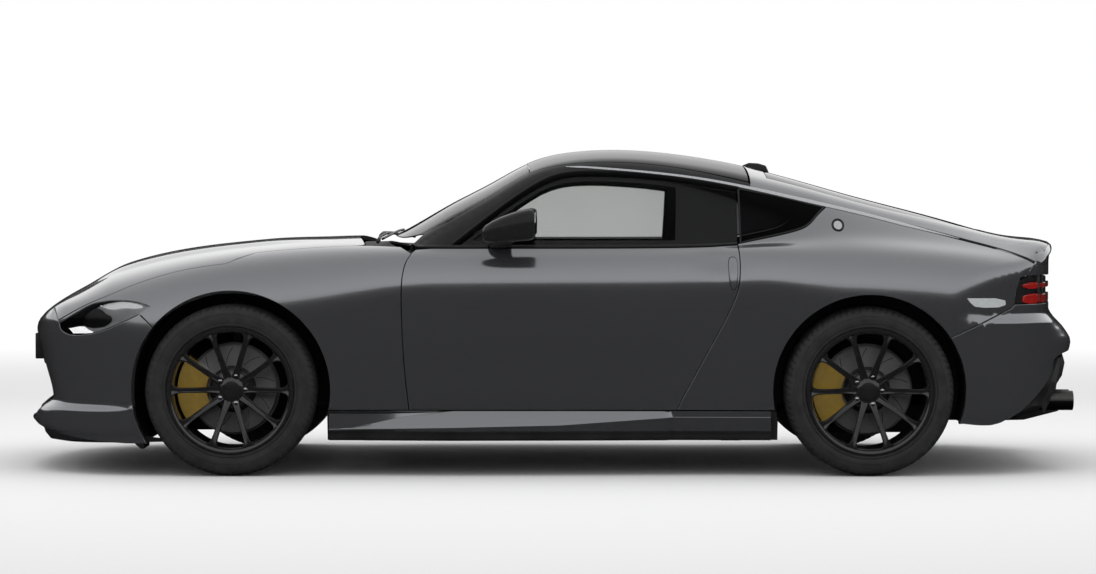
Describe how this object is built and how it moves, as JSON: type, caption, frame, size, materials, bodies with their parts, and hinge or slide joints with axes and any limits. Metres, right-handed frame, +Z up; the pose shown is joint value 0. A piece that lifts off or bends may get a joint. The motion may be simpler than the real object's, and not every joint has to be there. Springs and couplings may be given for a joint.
{
  "type": "coupe car",
  "caption": "Two-door fastback sports coupe with opening doors, hood and hatch, steered front wheels and a furnished cabin.",
  "frame": {"origin": "on the ground under the middle of the car", "axes": "+X forward, +Y to the car's left, +Z up"},
  "size_m": [4.38, 2.0146, 1.3159],
  "materials": {
    "body_paint": "metallic grey clearcoat",
    "black_gloss": "gloss black",
    "black_matte": "grained black",
    "glass": "tinted",
    "lamp_clear": "clear lens",
    "lamp_red": "red lens",
    "wheel_paint": "gloss black paint",
    "tyre_rubber": "tread rubber",
    "disc_iron": "machined",
    "caliper_paint": "gold paint",
    "steel_black": "black primer",
    "alloy": "as cast",
    "stainless": "brushed",
    "seat_leather": "black leather",
    "trim_leather": "black trim"
  },
  "bodies": {
    "car": {"front_fenders": "body_paint", "front_bumper": "body_paint", "front_grille": "black_gloss", "rear_bumper": "body_paint", "rear_diffuser": "black_matte", "tail_panel": "black_gloss", "tail_lamps": "lamp_red", "headlamps": "lamp_clear", "sills": "body_paint", "quarter_panels": "body_paint", "roof_panel": "black_gloss", "roof_frames": "black_gloss", "fixed_glass": "glass", "cowl_panel": "black_matte", "floor_pan": "steel_black", "front_structure": "steel_black", "boot_floor": "steel_black", "dashboard": "black_matte", "seats": "seat_leather", "engine": "alloy", "wheel_liners": "black_matte", "front_suspension": "steel_black", "rear_suspension": "steel_black", "rear_calipers": "caliper_paint", "exhaust": "stainless"},
    "hood": {"hood": "body_paint"},
    "hatch": {"hatch": "black_gloss", "hatch_glass": "glass"},
    "door_left": {"door_left": "body_paint", "door_glass_left": "glass", "mirror_left": "black_gloss"},
    "door_right": {"door_right": "body_paint", "door_glass_right": "glass", "mirror_right": "black_gloss"},
    "steering_wheel": {"steering_wheel": "trim_leather"},
    "knuckle_left": {"knuckle_left": "alloy", "caliper_left": "caliper_paint"},
    "knuckle_right": {"knuckle_right": "alloy", "caliper_right": "caliper_paint"},
    "wheel_front_left": {"tyre_front_left": "tyre_rubber", "rim_front_left": "wheel_paint", "disc_front_left": "disc_iron"},
    "wheel_front_right": {"tyre_front_right": "tyre_rubber", "rim_front_right": "wheel_paint", "disc_front_right": "disc_iron"},
    "wheel_rear_left": {"tyre_rear_left": "tyre_rubber", "rim_rear_left": "wheel_paint", "disc_rear_left": "disc_iron"},
    "wheel_rear_right": {"tyre_rear_right": "tyre_rubber", "rim_rear_right": "wheel_paint", "disc_rear_right": "disc_iron"}
  },
  "joints": [
    {"name": "hood_hinge", "type": "hinge", "parent": "car", "child": "hood", "pos_m": [0.712, 0, 0.868], "axis": [0, -1, 0], "range_deg": [0, 50]},
    {"name": "hatch_hinge", "type": "hinge", "parent": "car", "child": "hatch", "pos_m": [-0.748, 0, 1.212], "axis": [0, 1, 0], "range_deg": [0, 60]},
    {"name": "door_left_hinge", "type": "hinge", "parent": "car", "child": "door_left", "pos_m": [0.5, 0.838, 0.54], "axis": [0, 0, -1], "range_deg": [0, 65]},
    {"name": "door_right_hinge", "type": "hinge", "parent": "car", "child": "door_right", "pos_m": [0.5, -0.838, 0.54], "axis": [0, 0, 1], "range_deg": [0, 65]},
    {"name": "steer_left", "type": "hinge", "parent": "car", "child": "knuckle_left", "pos_m": [1.285, 0.712, 0.343], "axis": [0, 0, 1], "range_deg": [-33, 33]},
    {"name": "steer_right", "type": "hinge", "parent": "car", "child": "knuckle_right", "pos_m": [1.285, -0.712, 0.343], "axis": [0, 0, 1], "range_deg": [-33, 33]},
    {"name": "steering_wheel_turn", "type": "hinge", "parent": "car", "child": "steering_wheel", "pos_m": [0.235, 0.37, 0.8], "axis": [-0.9135, 0, 0.4067], "range_deg": [-462, 462]},
    {"name": "wheel_front_left_spin", "type": "hinge", "parent": "knuckle_left", "child": "wheel_front_left", "pos_m": [1.285, 0.777, 0.343], "axis": [0, 1, 0], "continuous": true},
    {"name": "wheel_front_right_spin", "type": "hinge", "parent": "knuckle_right", "child": "wheel_front_right", "pos_m": [1.285, -0.777, 0.343], "axis": [0, 1, 0], "continuous": true},
    {"name": "wheel_rear_left_spin", "type": "hinge", "parent": "car", "child": "wheel_rear_left", "pos_m": [-1.265, 0.775, 0.338], "axis": [0, 1, 0], "continuous": true},
    {"name": "wheel_rear_right_spin", "type": "hinge", "parent": "car", "child": "wheel_rear_right", "pos_m": [-1.265, -0.775, 0.338], "axis": [0, 1, 0], "continuous": true}
  ],
  "couplings": [
    {"joint": "steer_right", "follows": "steer_left", "ratio": 1},
    {"joint": "steering_wheel_turn", "follows": "steer_left", "ratio": 14}
  ]
}
